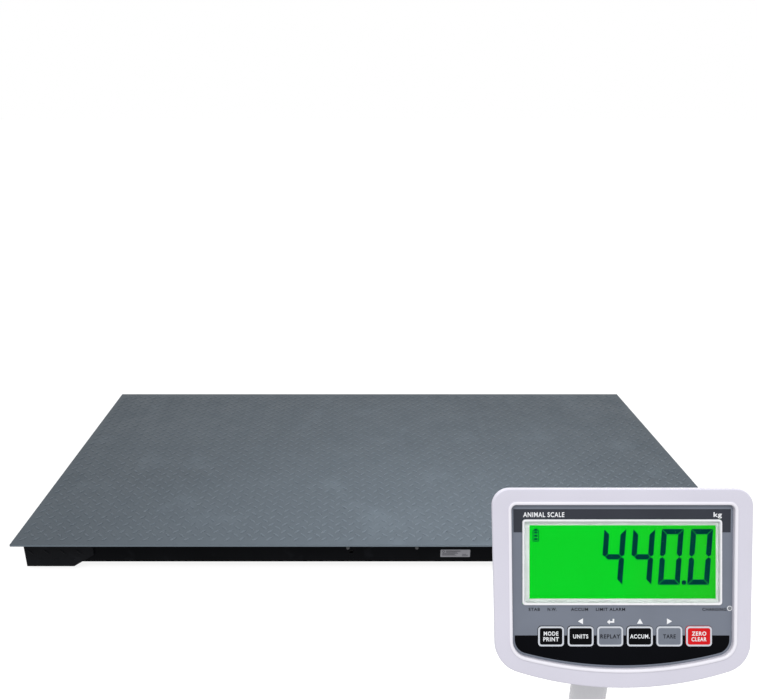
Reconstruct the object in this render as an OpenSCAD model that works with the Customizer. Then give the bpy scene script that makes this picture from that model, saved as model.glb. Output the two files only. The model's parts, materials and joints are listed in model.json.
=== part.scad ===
// Animal weighing scale: a low tread-plate platform on four load cells, and its weighing terminal,
// which tilts in a bracket on a floor column. +Z is up, and the front of the set faces -Y.
// The origin is on the floor, at the middle of the whole set's footprint.

/* [Platform] */
// Length of the deck, left to right
deck_l = 2000; // [1900:10:2100]
// Width of the deck, front to rear
deck_w = 1000; // [960:10:1100]
// Height of the deck's top above the floor
deck_top = 98; // [96:1:102]
// Thickness of the deck plate
deck_t = 6; // [5:1:6]
// How far the deck stands out past the corner covers
overhang = 24; // [18:1:30]
// Height of the frame's channels
beam_h = 69.6; // [66:0.1:70]
// Width of the frame's channels
beam_w = 40; // [36:1:42]
// Thickness of the channels' steel
beam_t = 4; // [3:0.5:5]
// Spacing of the ribs under the deck
rib_pitch = 300; // [280:10:305]
// Height of the ribs
rib_h = 60; // [54:1:64]

/* [Corner covers] */
// Length of a corner cover along its top
cover_l = 190; // [170:1:200]
// Length of a corner cover along its bottom
cover_low_l = 131; // [125:1:140]
// Height of a corner cover's bottom above the floor
cover_z = 10; // [8:0.2:14]
// Height at which a corner cover's slanted end starts
cover_slant_z = 48; // [42:1:60]
// Thickness of the corner covers
cover_t = 4.5; // [3:0.5:5]

/* [Load cells and feet] */
// Length of a load cell
cell_l = 130; // [126:1:134]
// Height and width of a load cell
cell_s = 32; // [30:1:32]
// Radius of the foot's screwed stem
stem_r = 6; // [5:0.5:6]
// Radius of the foot's pad
pad_r = 30; // [25:1:32]

/* [Terminal] */
// Width of the terminal
term_w = 251; // [248:1:254]
// Height of the terminal's face
term_h = 193; // [191:1:195]
// How far the face leans back from upright, in degrees
term_tilt = 20.4; // [10:0.1:30]
// Height of the face's centre above the floor
term_z = 801.1; // [700:0.1:950]
// The terminal's place to the right of the platform's centre
term_x = 186; // [-200:0.5:300]
// Distance of the face's centre in front of the deck's front edge
term_reach = 1037.7; // [800:0.1:1200]
// How far a key travels
key_travel = 0.7; // [0.3:0.1:0.7]

/* [Stand] */
// Side of the stand's square base plate
base_s = 300; // [280:10:360]
// Outer radius of the stand's column
column_r = 19; // [16:1:22]
// Height of the tilt pivot above the bracket's base
arm_h = 103; // [102:1:115]

/* [Hidden] */
$fn = 64;
// Small overlap for cuts that have to break through a face
eps = 0.1;
// Radial clearance of a shaft or screw in its hole
fit = 0.05;

// Where the two units stand: together they are centred on the origin
pivot_back = 44;
pivot_y_from_face = pivot_back * cos(term_tilt);
column_reach = term_reach - pivot_y_from_face;
set_depth = column_reach + base_s / 2 + deck_w;
front_edge_y = set_depth / 2 - deck_w;
platform_y = front_edge_y + deck_w / 2;
face_y = front_edge_y - term_reach;
pivot_y = front_edge_y - column_reach;
pivot_z = term_z - pivot_back * sin(term_tilt);

// Frame under the deck
deck_low = deck_top - deck_t;
cover_x = deck_l / 2 - overhang;
cover_y = deck_w / 2 - overhang;
frame_x = cover_x - cover_t;
frame_y = cover_y - cover_t;
inner_y = frame_y - beam_w;
rib_places = [-2, -1, 0, 1, 2];

// Load cells and feet
seat_t = 20;
seat_l = 60;
cell_top = deck_low - seat_t;
cell_low = cell_top - cell_s;
cell_mid = (cell_top + cell_low) / 2;
cell_end_x = frame_x - beam_w - 9.5;
cell_in_x = cell_end_x - cell_l;
foot_x = cell_end_x - 20;
foot_y = inner_y - 31.5;
bolt_x = [20, 46];
nut_t = 10;
corners = [[-1, -1], [1, -1], [-1, 1], [1, 1]];

// Junction box under the deck, and the cables that run to it at the height of the cells' middle
cable_r = 3;
bend_r = 20;
box_l = 120;
box_w = 100;
box_h = 50;
box_wall = 3;
box_x = -100;
box_y = -330;
box_left = box_x - box_l / 2;
box_right = box_x + box_l / 2;
box_front = box_y - box_w / 2;
gland_l = 22;
inlet_y = [-350, -310];
exit_x = -75;
exit_w = 10; // the square opening in the front beam for the cable
seam = 0.1; // between the lengths that the front beam is made of
left_front_x = -220;
left_rear_x = -240;
right_x = 60;
clip_x = [-700, -450, 150, 450, 700];

// Terminal: heights are measured along the face's normal, from the front of the bezel
half_w = term_w / 2;
face_top = 96;
face_low = face_top - term_h;
panel_z = -3.7;
floor_back = -6.5;
shell_edge = -5;
shell_back = -25;
back_scale = 0.96;
seal_t = 1.2;
flange_front = shell_back - seal_t;
flange_back = flange_front - 3;
case_back = -62;
wall = 3;
case_w = 172;
case_top = 60;
case_low = -62;
case_r = 12;
boss_r = 4.5;
boss_spots = [[-112, 72], [112, 72], [-109, -36], [109, -36], [-62, -76], [62, -76]];
post_x = 93.5;
window_w = 189.4;
window_h = 78.8;
window_x = 0.6;
window_y = 24.1;
key_w = 25.3;
key_h = 19.6;
key_r = 3.4;
key_gap = 0.3;
key_pitch = 28.7;
key_first_x = -68.5;
key_y = -47.7;
led_x = 105;
led_y = -20.7;
switch_x = 60;
switch_y = 25;
rocker_z = case_back + 1;
pin_r = 1.2;
stud_r = 3;
hub_x = 91.5;
arm_x = 92;
arm_t = 3;
arm_half = 12.5;
gland_spots = [30, 58];
gland_z = -45;

// Stand
base_t = 8;
rubber_t = 6;
flange_t = 6;
head_t = 5;
tube_t = 2;
bracket_low = pivot_z - arm_h - arm_t;
anchor_pitch = base_s - 40;
flange_bolt = 27;
head_bolt = 38;

// ---- shared shapes ----

function arc(x, y, r, from, to, steps) =
    [for (i = [0:steps]) let (a = from + (to - from) * i / steps) [x + r * cos(a), y + r * sin(a)]];

function inner_arc(x, y, r, from, to, steps) =
    [for (i = [1:steps - 1]) let (a = from + (to - from) * i / steps) [x + r * cos(a), y + r * sin(a)]];

// A face with round corners, sides that lean in a little towards the bottom, and an arched lower edge
function face_points(half, top, low, r_top, r_low, r_arch, lean) =
    let (x_low = half - lean - r_low,
         arch_y = low + r_arch,
         y_low = arch_y - sqrt(pow(r_arch - r_low, 2) - x_low * x_low),
         swing = asin(x_low / (r_arch - r_low)),
         x_top = half - r_top,
         y_top = top - r_top,
         dip = 1.5)
    concat(
        arc(x_top, y_top, r_top, -dip, 90, 8),
        arc(-x_top, y_top, r_top, 90, 180 + dip, 8),
        arc(-x_low, y_low, r_low, 180 + dip, 270 - swing, 8),
        inner_arc(0, arch_y, r_arch, 270 - swing, 270 + swing, 16),
        arc(x_low, y_low, r_low, 270 + swing, 360 - dip, 8));

// The terminal's outline, moved in by a distance
module shell_outline(inset) {
    polygon(face_points(half_w - inset, face_top - inset, face_low + inset,
                        17 - inset, 30 - inset, 345 - inset, 3.5));
}

// The outline of the sunk panel, moved out by a distance
module panel_outline(grow) {
    translate([0.6, 0])
        polygon(face_points(108.1 + grow, 80.2 + grow, -78.6 - grow,
                            5 + grow, 16 + grow, 380 + grow, 1.4));
}

// The outline of the housings' sides, narrower than the face's edge
module back_outline(inset) {
    scale(back_scale)
        shell_outline(inset);
}

module round_rect(w, h, r) {
    square([w, h - 2 * r], center = true);
    square([w - 2 * r, h], center = true);
    for (x = [-1, 1], y = [-1, 1])
        translate([x * (w / 2 - r), y * (h / 2 - r)])
            circle(r);
}

module layer(low, high) {
    translate([0, 0, low])
        linear_extrude(high - low)
            children();
}

// Turns and moves a shape from the terminal's face frame to its place on the stand
module at_face() {
    translate([term_x, face_y, term_z])
        rotate([90 - term_tilt, 0, 0])
            children();
}

module at_pivot() {
    translate([term_x, pivot_y, pivot_z])
        children();
}

module at_platform() {
    translate([0, platform_y, 0])
        children();
}

// Repeats a shape made for the front right corner at one corner, given by its signs
module at_corner(c) {
    mirror([c[0] < 0 ? 1 : 0, 0, 0])
        mirror([0, c[1] > 0 ? 1 : 0, 0])
            children();
}

module hex(r, h) {
    cylinder(r = r, h = h, $fn = 6);
}

// ---- platform ----

module deck_plate() {
    color("slategray")
        at_platform()
            translate([-deck_l / 2, -deck_w / 2, deck_low])
                cube([deck_l, deck_w, deck_t]);
}

// A channel along X, its web facing -Y at y = 0
module channel(length) {
    translate([-length / 2, 0, deck_low - beam_h])
        difference() {
            cube([length, beam_w, beam_h]);
            translate([-eps, beam_t, beam_t])
                cube([length + 2 * eps, beam_w, beam_h - 2 * beam_t]);
        }
}

// Two lengths of channel, and two short bars that close the gap above and below the cable opening
module front_beam() {
    color("black")
        at_platform()
            translate([0, -frame_y, 0]) {
                for (side = [-1, 1])
                    translate([(side * frame_x + exit_x + side * exit_w / 2) / 2, 0, 0])
                        channel(frame_x - exit_w / 2 - side * exit_x);
                translate([exit_x, 0, 0])
                    difference() {
                        channel(exit_w - 2 * seam);
                        translate([-exit_w, -eps, cell_mid - exit_w / 2])
                            cube([2 * exit_w, beam_t + 2 * eps, exit_w]);
                    }
            }
}

module rear_beam() {
    color("black")
        at_platform()
            rotate([0, 0, 180])
                translate([0, -frame_y, 0])
                    channel(2 * frame_x);
}

module side_beam(side) {
    color("black")
        at_platform()
            rotate([0, 0, side * 90])
                translate([0, -frame_x, 0])
                    channel(2 * inner_y);
}

module left_beam() {
    side_beam(-1);
}

module right_beam() {
    side_beam(1);
}

// Channels under the deck from front to rear, with holes where the cables cross them
module cross_ribs() {
    color("dimgray")
        at_platform()
            for (i = rib_places)
                translate([i * rib_pitch, 0, 0])
                    difference() {
                        translate([-beam_w / 2, -inner_y, deck_low - rib_h])
                            cube([beam_w, 2 * inner_y, rib_h]);
                        translate([-beam_w / 2 + beam_t, -inner_y - eps, deck_low - rib_h - eps])
                            cube([beam_w - 2 * beam_t, 2 * inner_y + 2 * eps, rib_h - beam_t + eps]);
                        for (y = i == 0 ? inlet_y : [-foot_y, foot_y])
                            translate([-beam_w, y, cell_mid])
                                rotate([0, 90, 0])
                                    cylinder(r = 9, h = 2 * beam_w);
                    }
}

// One face of a corner cover, in the XZ plane
module cover_side() {
    rotate([90, 0, 0])
        linear_extrude(cover_t)
            polygon([[0, deck_low], [-cover_l, deck_low], [-cover_l, cover_slant_z],
                     [-cover_low_l, cover_z], [0, cover_z]]);
}

// A bent plate over the outside of the front right corner
module corner_cover(c) {
    color("black")
        at_platform()
            at_corner(c) {
                translate([cover_x, -frame_y, 0])
                    cover_side();
                translate([frame_x, -cover_y, 0])
                    mirror([1, 1, 0])
                        cover_side();
            }
}

module corner_cover_front_left() {
    corner_cover(corners[0]);
}

module corner_cover_front_right() {
    corner_cover(corners[1]);
}

module corner_cover_rear_left() {
    corner_cover(corners[2]);
}

module corner_cover_rear_right() {
    corner_cover(corners[3]);
}

// A shear-beam load cell: gauge pockets on both sides, two bolt holes, and the hole for the foot
module load_cell(c) {
    pocket_r = 10;
    pocket_d = 9;
    color("silver")
        at_platform()
            at_corner(c)
                difference() {
                    translate([cell_in_x, -foot_y - cell_s / 2, cell_low])
                        cube([cell_l, cell_s, cell_s]);
                    for (x = bolt_x)
                        translate([cell_in_x + x, -foot_y, cell_low - eps])
                            cylinder(r = stem_r + 0.25, h = cell_s + 2 * eps);
                    translate([foot_x, -foot_y, cell_low - eps])
                        cylinder(r = stem_r + fit, h = cell_s + 2 * eps);
                    for (y = [-cell_s / 2 - eps, cell_s / 2 - pocket_d])
                        translate([cell_in_x + 78, -foot_y + y, cell_mid])
                            rotate([-90, 0, 0])
                                cylinder(r = pocket_r, h = pocket_d + eps);
                }
}

module load_cell_front_left() {
    load_cell(corners[0]);
}

module load_cell_front_right() {
    load_cell(corners[1]);
}

module load_cell_rear_left() {
    load_cell(corners[2]);
}

module load_cell_rear_right() {
    load_cell(corners[3]);
}

// Spacer plates between the load cells' fixed ends and the deck
module load_cell_seats() {
    color("dimgray")
        at_platform()
            for (c = corners)
                at_corner(c)
                    difference() {
                        translate([cell_in_x - 4, -foot_y - 30, cell_top])
                            cube([seat_l + 4, 60, seat_t]);
                        for (x = bolt_x)
                            translate([cell_in_x + x, -foot_y, cell_top - eps])
                                cylinder(r = stem_r + fit, h = seat_t);
                    }
}

module load_cell_bolts() {
    color("gainsboro")
        at_platform()
            for (c = corners, x = bolt_x)
                at_corner(c)
                    translate([cell_in_x + x, -foot_y, 0]) {
                        translate([0, 0, cell_low - 8])
                            hex(10, 8);
                        translate([0, 0, cell_low - 8])
                            cylinder(r = stem_r, h = cell_s + seat_t + 6);
                    }
}

module foot_lock_nuts() {
    color("gainsboro")
        at_platform()
            for (c = corners)
                at_corner(c)
                    translate([foot_x, -foot_y, cell_low - nut_t])
                        difference() {
                            hex(11, nut_t);
                            translate([0, 0, -eps])
                                cylinder(r = stem_r + fit, h = nut_t + 2 * eps);
                        }
}

// The screwed stem of a foot, with a hexagon for the spanner
module foot_stem(c) {
    hex_z = 21;
    hex_t = 6;
    socket_z = 4;
    color("gainsboro")
        at_platform()
            at_corner(c)
                translate([foot_x, -foot_y, 0]) {
                    translate([0, 0, socket_z])
                        cylinder(r = stem_r, h = cell_top - socket_z - 2);
                    translate([0, 0, hex_z])
                        hex(10.4, hex_t);
                }
}

module foot_stem_front_left() {
    foot_stem(corners[0]);
}

module foot_stem_front_right() {
    foot_stem(corners[1]);
}

module foot_stem_rear_left() {
    foot_stem(corners[2]);
}

module foot_stem_rear_right() {
    foot_stem(corners[3]);
}

// The moulded pad in which the stem's end turns
module foot_pad(c) {
    pad_t = 12;
    hub_h = 20;
    color("black")
        at_platform()
            at_corner(c)
                translate([foot_x, -foot_y, 0])
                    rotate_extrude()
                        polygon([[0, 0], [pad_r - 1, 0], [pad_r, 1], [pad_r, pad_t - 3], [pad_r - 3, pad_t],
                                 [15, pad_t], [13, hub_h], [stem_r + fit, hub_h], [stem_r + fit, 4], [0, 4]]);
}

module foot_pad_front_left() {
    foot_pad(corners[0]);
}

module foot_pad_front_right() {
    foot_pad(corners[1]);
}

module foot_pad_rear_left() {
    foot_pad(corners[2]);
}

module foot_pad_rear_right() {
    foot_pad(corners[3]);
}

// ---- junction box and cables ----

// Places a shape that points along +Z on one of the box's walls, pointing out of it
module at_gland(x, y, turn) {
    translate([x, y, cell_mid])
        rotate([0, 90, turn])
            children();
}

module on_gland_places() {
    for (y = inlet_y) {
        at_gland(box_left, y, 180)
            children();
        at_gland(box_right, y, 0)
            children();
    }
    at_gland(exit_x, box_front, -90)
        children();
}

module junction_box() {
    color("lightgray")
        at_platform()
            difference() {
                translate([box_x, box_y, 0])
                    layer(deck_low - box_h + 4, deck_low)
                        round_rect(box_l, box_w, 6);
                translate([box_x, box_y, 0])
                    layer(deck_low - box_h, deck_low - box_wall)
                        round_rect(box_l - 2 * box_wall, box_w - 2 * box_wall, 3);
                on_gland_places()
                    translate([0, 0, -2 * box_wall])
                        cylinder(r = 6 + fit, h = 3 * box_wall);
            }
}

module on_box_screws() {
    for (x = [-1, 1], y = [-1, 1])
        translate([box_x + x * (box_l / 2 - 8), box_y + y * (box_w / 2 - 8), 0])
            children();
}

module junction_lid() {
    color("lightgray")
        at_platform()
            difference() {
                translate([box_x, box_y, 0])
                    layer(deck_low - box_h, deck_low - box_h + 4)
                        round_rect(box_l, box_w, 6);
                on_box_screws()
                    layer(deck_low - box_h - eps, deck_low)
                        circle(2 + fit);
            }
}

// The summing board: terminal blocks on its lower side, on four spacers
module junction_board() {
    board_z = deck_low - box_wall - 8;
    color("darkgreen")
        at_platform()
            translate([box_x, box_y, 0]) {
                layer(board_z, board_z + 1.6)
                    square([76, 60], center = true);
                for (x = [-1, 1], y = [-1, 1])
                    translate([x * 33, y * 25, 0])
                        layer(board_z, deck_low - box_wall)
                            circle(3);
                for (x = [-24:12:24])
                    translate([x, 0, 0])
                        layer(board_z - 7, board_z)
                            square([9, 40], center = true);
            }
}

module junction_screws() {
    color("gainsboro")
        at_platform()
            on_box_screws() {
                layer(deck_low - box_h - 2, deck_low - box_h)
                    circle(3.6);
                layer(deck_low - box_h - 1, deck_low - box_wall)
                    circle(2);
            }
}

// A cable gland along +Z: its thread in the wall, a hexagon and a round cap, bored for the cable
module gland(wall_t, bore) {
    difference() {
        union() {
            translate([0, 0, -wall_t - 4])
                cylinder(r = 6, h = wall_t + 5);
            translate([0, 0, -wall_t - 4])
                hex(9, 4);
            hex(9.5, 6);
            translate([0, 0, 5.9])
                cylinder(r = 8, h = gland_l - 5.9);
        }
        translate([0, 0, -wall_t - 5])
            cylinder(r = bore, h = gland_l + wall_t + 6);
    }
}

module junction_glands() {
    color("dimgray")
        at_platform()
            on_gland_places()
                gland(box_wall, cable_r + 0.2);
}

// One level cable: straight runs that meet in round bends, with the turn made at each, left or right
module level_cable(points, turns) {
    last = len(points) - 1;
    translate([0, 0, cell_mid]) {
        for (i = [0:last - 1]) {
            run = points[i + 1] - points[i];
            length = norm(run);
            before = i == 0 ? 0 : bend_r;
            after = i == last - 1 ? 0 : bend_r;
            translate([points[i][0], points[i][1], 0])
                rotate([0, 0, atan2(run[1], run[0])])
                    translate([before, 0, 0])
                        rotate([0, 90, 0])
                            cylinder(r = cable_r, h = length - before - after);
        }
        for (i = [1:last - 1]) {
            run = points[i] - points[i - 1];
            heading = atan2(run[1], run[0]);
            turn = turns[i - 1];
            translate([points[i][0], points[i][1], 0])
                rotate([0, 0, heading])
                    translate([-bend_r, turn * bend_r, 0])
                        rotate([0, 0, turn > 0 ? -90 : 0])
                            rotate_extrude(angle = 90)
                                translate([bend_r, 0])
                                    circle(cable_r, $fn = 24);
        }
    }
}

module load_cell_cables() {
    tail = gland_l - 2;
    color("black")
        at_platform() {
            level_cable([[-cell_in_x, -foot_y], [left_front_x, -foot_y],
                         [left_front_x, inlet_y[0]], [box_left - tail, inlet_y[0]]], [1, -1]);
            level_cable([[-cell_in_x, foot_y], [left_rear_x, foot_y],
                         [left_rear_x, inlet_y[1]], [box_left - tail, inlet_y[1]]], [-1, 1]);
            level_cable([[cell_in_x, -foot_y], [right_x, -foot_y],
                         [right_x, inlet_y[0]], [box_right + tail, inlet_y[0]]], [-1, 1]);
            level_cable([[cell_in_x, foot_y], [right_x, foot_y],
                         [right_x, inlet_y[1]], [box_right + tail, inlet_y[1]]], [1, -1]);
        }
}

// Clips that hang from the deck and hold the cables
module cable_clips() {
    color("dimgray")
        at_platform()
            for (x = clip_x, side = [-1, 1])
                translate([x, side * foot_y, 0])
                    difference() {
                        union() {
                            translate([-5, -2, cell_mid + cable_r])
                                cube([10, 4, deck_low - cell_mid - cable_r]);
                            translate([-5, 0, cell_mid])
                                rotate([0, 90, 0])
                                    cylinder(r = cable_r + 2, h = 10);
                        }
                        translate([-6, 0, cell_mid])
                            rotate([0, 90, 0])
                                cylinder(r = cable_r + fit, h = 12);
                    }
}

module rating_plate() {
    color("silver")
        at_platform()
            translate([213, -frame_y, 50])
                rotate([90, 0, 0])
                    layer(0, 0.8)
                        round_rect(82, 24, 2);
}

module front_screws() {
    color("gainsboro")
        at_platform()
            for (x = [-84, 106])
                translate([x, -frame_y, deck_low - 24])
                    rotate([90, 0, 0]) {
                        cylinder(r = 4.5, h = 2.2);
                        hex(2.4, 2.8);
                    }
}

// ---- stand ----

module stand_base() {
    color("lightgray")
        translate([term_x, pivot_y, 0])
            difference() {
                layer(rubber_t, rubber_t + base_t)
                    round_rect(base_s, base_s, 20);
                for (x = [-1, 1], y = [-1, 1]) {
                    translate([x * anchor_pitch / 2, y * anchor_pitch / 2, 0])
                        cylinder(r = 5.5, h = 30);
                    translate([x * flange_bolt, y * flange_bolt, 0])
                        cylinder(r = 4 + fit, h = 30);
                }
            }
}

// The column: a tube with its lower flange and its head plate welded on
module stand_column() {
    floor_z = rubber_t + base_t;
    head_z = bracket_low - head_t;
    color("lightgray")
        translate([term_x, pivot_y, 0]) {
            difference() {
                union() {
                    translate([0, 0, floor_z])
                        cylinder(r = 52, h = flange_t);
                    translate([0, 0, floor_z + flange_t])
                        cylinder(r = column_r, h = head_z - floor_z - flange_t);
                    layer(head_z, bracket_low)
                        round_rect(110, 56, 6);
                }
                translate([0, 0, floor_z - eps])
                    cylinder(r = column_r - tube_t, h = head_z - floor_z + eps);
                for (x = [-1, 1], y = [-1, 1])
                    translate([x * flange_bolt, y * flange_bolt, 0])
                        cylinder(r = 4 + fit, h = 60);
                for (x = [-1, 1])
                    translate([x * head_bolt, 0, head_z - eps])
                        cylinder(r = 3 + fit, h = head_t + 2 * eps);
            }
        }
}

module stand_feet() {
    color("black")
        translate([term_x, pivot_y, 0])
            for (x = [-1, 1], y = [-1, 1])
                translate([x * (base_s / 2 - 48), y * (base_s / 2 - 48), 0])
                    cylinder(r = 18, h = rubber_t);
}

// Bolts through the lower flange, and the two that hold the bracket to the head plate
module stand_bolts() {
    flange_top = rubber_t + base_t + flange_t;
    head_z = bracket_low - head_t;
    color("gainsboro")
        translate([term_x, pivot_y, 0]) {
            for (x = [-1, 1], y = [-1, 1])
                translate([x * flange_bolt, y * flange_bolt, 0]) {
                    translate([0, 0, flange_top])
                        hex(7.5, 5.3);
                    translate([0, 0, rubber_t])
                        cylinder(r = 4, h = base_t + flange_t + 2);
                }
            for (x = [-1, 1])
                translate([x * head_bolt, 0, 0]) {
                    layer(bracket_low + arm_t, bracket_low + arm_t + 4)
                        circle(5.5);
                    layer(head_z - 7, bracket_low + arm_t + 1)
                        circle(3);
                    translate([0, 0, head_z - 5])
                        hex(5.8, 5);
                }
        }
}

module bracket_arm() {
    difference() {
        rotate([90, 0, 90])
            linear_extrude(arm_t) {
                circle(arm_half);
                translate([-arm_half, -arm_h - arm_t])
                    square([2 * arm_half, arm_h + arm_t]);
            }
        translate([-eps, 0, 0])
            rotate([0, 90, 0])
                cylinder(r = stud_r + 0.3, h = arm_t + 2 * eps);
    }
}

module tilt_bracket() {
    color("dimgray")
        at_pivot()
            difference() {
                union() {
                    for (side = [0, 1])
                        mirror([side, 0, 0])
                            translate([arm_x, 0, 0])
                                bracket_arm();
                    translate([-arm_x - arm_t, -arm_half, -arm_h - arm_t])
                        cube([2 * (arm_x + arm_t), 2 * arm_half, arm_t]);
                }
                for (x = [-1, 1])
                    translate([x * head_bolt, 0, -arm_h - arm_t - eps])
                        cylinder(r = 3 + fit, h = arm_t + 2 * eps);
            }
}

// A lobed hand knob on a stud, along +X from the pivot
module knob() {
    knob_r = 14;
    lobes = 8;
    knob_x = arm_x + arm_t + 0.3;
    rotate([0, 90, 0]) {
        translate([0, 0, hub_x - 14])
            cylinder(r = stud_r, h = knob_x - hub_x + 16);
        translate([0, 0, knob_x])
            cylinder(r = 9, h = 3);
        translate([0, 0, knob_x + 3])
            difference() {
                cylinder(r = knob_r, h = 9);
                for (i = [0:lobes - 1])
                    rotate([0, 0, i * 360 / lobes])
                        translate([knob_r + 1, 0, -eps])
                            cylinder(r = 3, h = 9 + 2 * eps);
            }
    }
}

module left_knob() {
    color("black")
        at_pivot()
            mirror([1, 0, 0])
                knob();
}

module right_knob() {
    color("black")
        at_pivot()
            knob();
}

// ---- terminal ----

module on_bosses() {
    for (spot = boss_spots)
        translate([spot[0], spot[1], 0])
            children();
}

module on_keys() {
    for (i = [0:5])
        translate([key_first_x + i * key_pitch, key_y, 0])
            children();
}

module on_key_posts() {
    for (x = [-1, 1])
        translate([x * post_x, key_y, 0])
            children();
}

module key_window() {
    round_rect(key_w + 2 * key_gap, key_h + 2 * key_gap, key_r + key_gap);
}

module front_housing() {
    color("lavender")
        at_face()
            difference() {
                union() {
                    difference() {
                        union() {
                            layer(shell_back, shell_edge)
                                back_outline(0);
                            layer(shell_edge, 0)
                                shell_outline(0);
                        }
                        layer(shell_back - eps, floor_back)
                            back_outline(wall);
                    }
                    layer(-1, 1)
                        panel_outline(3);
                    on_bosses()
                        layer(shell_back, floor_back + eps)
                            circle(boss_r);
                    on_key_posts()
                        layer(-10.6, floor_back + eps)
                            circle(2.6);
                }
                layer(panel_z, 2)
                    panel_outline(0);
                translate([window_x, window_y, 0])
                    layer(floor_back - eps, 0)
                        square([window_w + 0.6, window_h + 0.6], center = true);
                on_keys()
                    layer(floor_back - eps, 0)
                        key_window();
                translate([led_x, led_y, 0])
                    layer(floor_back - eps, 0)
                        circle(1.8);
                on_bosses()
                    layer(shell_back - eps, -8)
                        circle(1.5 + fit);
            }
}

module case_outline(inset) {
    translate([0, (case_top + case_low) / 2])
        round_rect(case_w - 2 * inset, case_top - case_low - 2 * inset, case_r - inset);
}

module on_pivot_ends() {
    for (side = [0, 1])
        mirror([side, 0, 0])
            translate([0, 0, -pivot_back])
                rotate([0, 90, 0])
                    children();
}

module rear_housing() {
    color("lavender")
        at_face()
            difference() {
                union() {
                    layer(flange_back, flange_front)
                        back_outline(1);
                    layer(case_back, flange_back + eps)
                        case_outline(0);
                    on_pivot_ends()
                        translate([0, 0, case_w / 2 - wall])
                            cylinder(r = 11, h = hub_x - case_w / 2 + wall);
                    translate([switch_x, switch_y, 0])
                        layer(case_back - 1.2, case_back + eps)
                            round_rect(19, 25, 2);
                }
                difference() {
                    layer(case_back + wall, flange_front + eps)
                        case_outline(wall);
                    on_pivot_ends()
                        translate([0, 0, hub_x - 18])
                            cylinder(r = 8, h = 20);
                }
                on_pivot_ends()
                    translate([0, 0, hub_x - 19])
                        cylinder(r = stud_r + fit, h = 20);
                on_bosses()
                    layer(flange_back - eps, flange_front + eps)
                        circle(1.5 + 2 * fit);
                translate([switch_x, switch_y, 0])
                    layer(case_back - 2, case_back + 2 * wall)
                        square([13, 20], center = true);
                translate([switch_x - 8.2, switch_y, rocker_z])
                    rotate([0, 90, 0])
                        cylinder(r = pin_r + fit, h = 16.4);
                for (x = gland_spots)
                    translate([x, case_low - 1, gland_z])
                        rotate([-90, 0, 0])
                            cylinder(r = 6 + fit, h = wall + 2);
            }
}

module housing_seal() {
    color("black")
        at_face()
            difference() {
                layer(flange_front, shell_back)
                    back_outline(0.4);
                layer(flange_front - eps, shell_back + eps)
                    back_outline(2.6);
            }
}

module panel_overlay() {
    color("slategray")
        at_face()
            difference() {
                layer(panel_z, panel_z + 0.5)
                    panel_outline(-0.3);
                translate([window_x, window_y, 0])
                    layer(-5, -2)
                        round_rect(window_w + 4.8, window_h + 4.8, 3.2);
                on_keys()
                    layer(-5, -2)
                        key_window();
                translate([led_x, led_y, 0])
                    layer(-5, -2)
                        circle(1.8);
            }
}

module display_bezel() {
    color("white")
        at_face()
            translate([window_x, window_y, 0])
                difference() {
                    layer(panel_z, -1.8)
                        round_rect(window_w + 4.2, window_h + 4.2, 3);
                    layer(-5, 0)
                        round_rect(window_w, window_h, 1.4);
                }
}

module display_window() {
    color([0.9, 0.95, 0.9, 0.4])
        at_face()
            translate([window_x, window_y, 0])
                layer(-5.2, -4)
                    square([window_w - 0.4, window_h - 0.4], center = true);
}

module lcd_panel() {
    color("limegreen")
        at_face()
            translate([window_x, window_y, 0]) {
                layer(-14.5, floor_back)
                    square([window_w + 6, window_h + 6], center = true);
                layer(floor_back - 1, -6)
                    square([181, 72], center = true);
            }
}

// The main board behind the display, with its larger components and the charging lamp
module main_board() {
    color("darkgreen")
        at_face() {
            layer(-16.1, -14.5)
                translate([-104, -28])
                    square([213, 96]);
            translate([-60, 30, 0])
                layer(-24, -16)
                    square([30, 30], center = true);
            translate([20, 20, 0])
                layer(-19, -16)
                    square([24, 24], center = true);
            for (x = [-90, 60, 78])
                translate([x, 45, 0])
                    layer(-25, -16)
                        circle(6);
            translate([led_x, led_y, 0])
                layer(-15, -3)
                    circle(1.5);
        }
}

// The key board, with a small dome switch under each key
module key_board() {
    color("darkgreen")
        at_face() {
            translate([0, key_y, 0])
                layer(-12.2, -10.6)
                    square([194, 25], center = true);
            on_keys()
                layer(-11, -9.6)
                    circle(3);
        }
}

// One key: a cap through the panel, a flange behind it, and a plunger for the dome
module key_cap(i) {
    at_face()
        translate([key_first_x + i * key_pitch, key_y, 0]) {
            layer(-7.1, -2.4)
                round_rect(key_w, key_h, key_r);
            layer(-8.2, -7)
                round_rect(key_w + 2.8, key_h + 2.8, 4);
            layer(-9.5 + key_travel, -8)
                circle(2);
        }
}

module key_mode() {
    color("black")
        key_cap(0);
}

module key_units() {
    color("black")
        key_cap(1);
}

module key_replay() {
    color("gray")
        key_cap(2);
}

module key_accumulate() {
    color("black")
        key_cap(3);
}

module key_tare() {
    color("gray")
        key_cap(4);
}

module key_zero() {
    color("red")
        key_cap(5);
}

module battery_pack() {
    color("darkslategray")
        at_face()
            translate([-25, -20, 0])
                layer(case_back + wall, case_back + wall + 24)
                    round_rect(97, 52, 2);
}

module housing_screws() {
    color("gainsboro")
        at_face()
            on_bosses() {
                layer(flange_back - 2, flange_back)
                    circle(3.2);
                layer(flange_back - 1, -14)
                    circle(1.5);
            }
}

module terminal_glands() {
    color("dimgray")
        at_face()
            for (x = gland_spots)
                translate([x, case_low, gland_z])
                    rotate([90, 0, 0])
                        gland(wall, cable_r + 0.2);
}

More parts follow.
